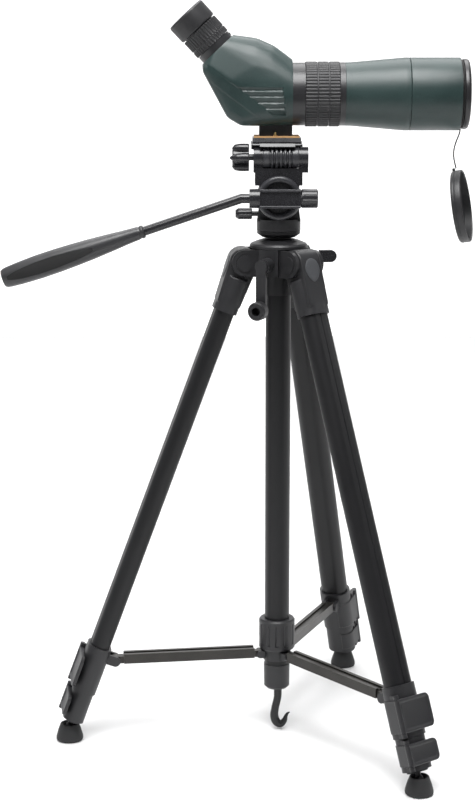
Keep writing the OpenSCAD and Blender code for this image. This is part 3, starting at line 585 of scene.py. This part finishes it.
# ---------------- head ----------------
BARREL = at(0, -16, 590.5, math.pi / 2)
# Ribbed barrel cover in the lighter plastic: its colour paints the highlight on the ribs.
turned("platform_barrel_cover", [(-15.7, 8.0), (-15.7, 10.2), (-9.9, 10.2), (-9.5, 8.9)] +
       [q for i in range(5) for q in ((-8.3 + 4.2 * i, 8.9), (-7.9 + 4.2 * i, 10.9),
                                      (-5.9 + 4.2 * i, 10.9), (-5.5 + 4.2 * i, 8.9))] +
       [(12.1, 8.9), (12.5, 10.2), (18.7, 10.2), (18.7, 8.0)], 0.45, BARREL, "painted_sheen_plastic",
       "platform", turns=96)
turned("knob_core", [(-45.6, 0), (-45.6, 7.6), (-44.6, 8.5), (-29.3, 8.5), (-29.3, 3),
                     (27, 3), (27, 0)], 0.4, BARREL, "gloss_plastic", "platform_knob",
       ["platform_knob"], turns=64)
for i in range(5):
    spot = (BARREL @ Matrix.Rotation(math.radians(72 * i - 90), 4, "Z")
            @ Matrix.Translation((9, 0, -46.5)))
    tip, nose, cheek = (-1.6, 2.6, 4.0) if i == 0 else (0.6, 3.8, 4.7)
    turned(f"knob_lobe_{i + 1}", [(tip, 0), (tip + 0.3, 0.9), (tip + 2.6, nose),
                                  (tip + 7, cheek), (12, 4.8), (16.6, 4.7), (17.2, 4.1),
                                  (17.2, 0)], 0.5, spot, "gloss_plastic", "platform_knob",
           turns=48)
# Tilt ring and sleeve rails in the lighter plastic: their colour paints the highlight they catch.
turned("tilt_ring", [(0, 14.6), (0, 21.5), (1.4, 21.4), (2.9, 20.3), (3.5, 18.4), (2.9, 16.2),
                     (1.2, 14.8)], 0.6, at(0, -23.2, TILT_H, math.pi / 2, "X"),
       "painted_sheen_plastic", "tilt", turns=96)
for side in (-1, 1):
    moulded(f"sleeve_rail_{side + 2}",
            [[(x, y, TILT_H + side * z) for x in (-19.5, 20.5) for y in (-33.9, -30)
              for z in (6.7, 9.1)]], 0.45, 3, [], at(0, 0, 0), "painted_sheen_plastic", "tilt")
turned("crank_boss", [(-8, 0), (-8, 3.1), (6.5, 3.4), (6.5, 0)], 0.8,
       at(-15.4, -38, CRANK_H, math.pi / 2), "gloss_plastic", "crank", turns=32)
turned("video_pin", [(606, 0), (606, 1.5), (610.8, 1.5), (611, 2.0), (611.7, 2.0), (612, 1.25),
                     (613.8, 1.2), (614.6, 0.7), (614.8, 0)], 0.15, at(-4, -15.5, 0),
       "screw_brass", "scope", turns=32)
CAP = (at(179.6, 0, 541.6) @ Matrix.Rotation(math.radians(-14), 4, "Z")
       @ Matrix.Rotation(math.radians(81), 4, "Y") @ Matrix.Translation((0, 0, -5)))
turned("cap_shell", [(0, 0), (0, 30.4), (0.5, 31), (0.5, 32.6), (0, 33.2), (0.1, 34.4),
                     (1.4, 35.55), (3.2, 35.6), (3.5, 35.1), (4.0, 35.1), (4.3, 35.6),
                     (9.2, 35.6), (10, 35.1), (10, 34.5), (9, 34.1), (2.4, 34.1),
                     (1.8, 33.4), (1.8, 30), (2.3, 29.6), (2.3, 28.6), (1.8, 28.2),
                     (1.8, 0)], 0.25, CAP, "black_plastic", "cap",
       ["lens_cap"], turns=128)
turned("cap_lug", [(1.0, 0), (1.0, 1.5), (3.6, 1.5), (3.6, 0)], 0.3,
       CAP @ Matrix.Translation((-36.5, 0, 0)), "black_plastic", "cap", turns=32)
ROD_DROOP = 18.6
GRIP = at(-37, SLEEVE_Y, TILT_H, math.radians(-90 - ROD_DROOP))
GRIP_START = 99
FLAT = 9.7   # distance of the grip's flats from its axis


def facet(angle, h, r):
    """Cuts a long flat into the near and far sides of the grip."""
    if not 46 < h - GRIP_START < 141:
        return r
    return min(r, FLAT / max(abs(math.sin(angle)), 0.01))


GRIP_SIDE = [(22, 7.4), (30, 8.2), (40, 9.0), (55, 10.1), (72, 11.0), (90, 11.6), (108, 11.7),
             (120, 11.3), (130, 10.8), (140, 10.0), (143.5, 9.4), (145.6, 8.2), (146, 7.0)]
fine_side = [(a[0] + (b[0] - a[0]) * t / 6, a[1] + (b[1] - a[1]) * t / 6)
             for a, b in zip(GRIP_SIDE, GRIP_SIDE[1:]) for t in range(6)]
collar = [(GRIP_START + h, r) for h, r in ((0, 0), (0, 5.0), (1.2, 6.4), (3.4, 6.4), (4.2, 5.9))]
lathe("grip_body", soft(collar, 0.4) +
      [(GRIP_START + d, 5.9 + 1.5 * d / 22) for d in (6, 10, 14, 18)] +
      [(GRIP_START + h, r) for h, r in fine_side] + [(GRIP_START + 146, 0)],
      GRIP, "grip_skin", "handle", ["handle_grip"], turns=128, shape=facet, sharp=14)
lens = [(h, math.sqrt(r * r - FLAT * FLAT) - 0.5) for h, r in fine_side if r > FLAT + 0.16]
for side in (-1, 1):
    edge = [(w, h) for h, w in lens] + [(-w, h) for h, w in reversed(lens)]
    rows = [[(x * k, side * (FLAT + lift), GRIP_START + h) for x, h in edge]
            for k, lift in ((1.0, -0.3), (1.0, 0.15), (0.93, 0.32))]
    n = len(edge)
    piece(f"grip_inlay_{side + 2}", sum(rows, []),
          [(j * n + k, j * n + (k + 1) % n, (j + 1) * n + (k + 1) % n, (j + 1) * n + k)
           for j in (0, 1) for k in range(n)] + [tuple(range(2 * n, 3 * n)), tuple(range(n))],
          "grip_foam", "handle", place=GRIP)

# ---------------- floor and light ----------------
def stage_piece(name, verts, faces, colour, glow):
    mesh = bpy.data.meshes.new(name)
    mesh.from_pydata(verts, [], faces)
    obj = bpy.data.objects.new(name, mesh)
    scene.collection.objects.link(obj)
    paint = bpy.data.materials.new(name)
    paint.use_nodes = True
    shader = paint.node_tree.nodes["Principled BSDF"]
    shader.inputs["Base Color"].default_value = (colour, colour, colour, 1)
    shader.inputs["Roughness"].default_value = 0.9
    shader.inputs["Specular IOR Level"].default_value = 0.0
    shader.inputs["Emission Color"].default_value = (1, 1, 1, 1)
    shader.inputs["Emission Strength"].default_value = glow
    mesh.materials.append(paint)


FLOOR_END = 2.6
stage_piece("floor", [(-5, -1.2, 0), (5, -1.2, 0), (5, FLOOR_END, 0), (-5, FLOOR_END, 0)],
            [(0, 1, 2, 3)], 0.8, 0)
stage_piece("backdrop", [(-7, FLOOR_END, 0), (7, FLOOR_END, 0), (7, 6.5, 0), (-7, 6.5, 0),
                         (7, 7, 4), (-7, 7, 4)], [(0, 1, 2, 3), (3, 2, 4, 5)], 0.5, 0.95)

world = bpy.data.worlds.new("studio")
world.use_nodes = True
sky = world.node_tree.nodes["Background"]
ramp = world.node_tree.nodes.new("ShaderNodeValToRGB")
ramp.color_ramp.elements[0].position = 0.02
ramp.color_ramp.elements[0].color = (0.2, 0.2, 0.2, 1)
ramp.color_ramp.elements[1].position = 0.22
ramp.color_ramp.elements[1].color = (0.12, 0.12, 0.125, 1)
split = world.node_tree.nodes.new("ShaderNodeSeparateXYZ")
way = world.node_tree.nodes.new("ShaderNodeTexCoord")
world.node_tree.links.new(way.outputs["Generated"], split.inputs[0])
world.node_tree.links.new(split.outputs["Z"], ramp.inputs["Fac"])
world.node_tree.links.new(ramp.outputs["Color"], sky.inputs["Color"])
scene.world = world
scene.view_settings.view_transform = "Standard"
LAMPS = [((-0.1, -0.8, 2.3), (0, -0.02, 0.6), 1.3, 72), ((0, 1.9, 3.2), (0, 1.7, 0), 3.0, 112),
         ((1.9, 0.2, 1.3), (0, 0, 0.5), 0.7, 5), ((-1.9, 0.1, 1.3), (0, 0, 0.5), 0.7, 5)]
for i, (spot, aim, size, power) in enumerate(LAMPS):
    lamp = bpy.data.lights.new(f"softbox_{i}", "AREA")
    lamp.shape = "SQUARE"
    lamp.size = size
    lamp.energy = power
    obj = bpy.data.objects.new(f"softbox_{i}", lamp)
    obj.location = spot
    obj.rotation_euler = (Vector(spot) - Vector(aim)).to_track_quat("Z", "Y").to_euler()
    scene.collection.objects.link(obj)
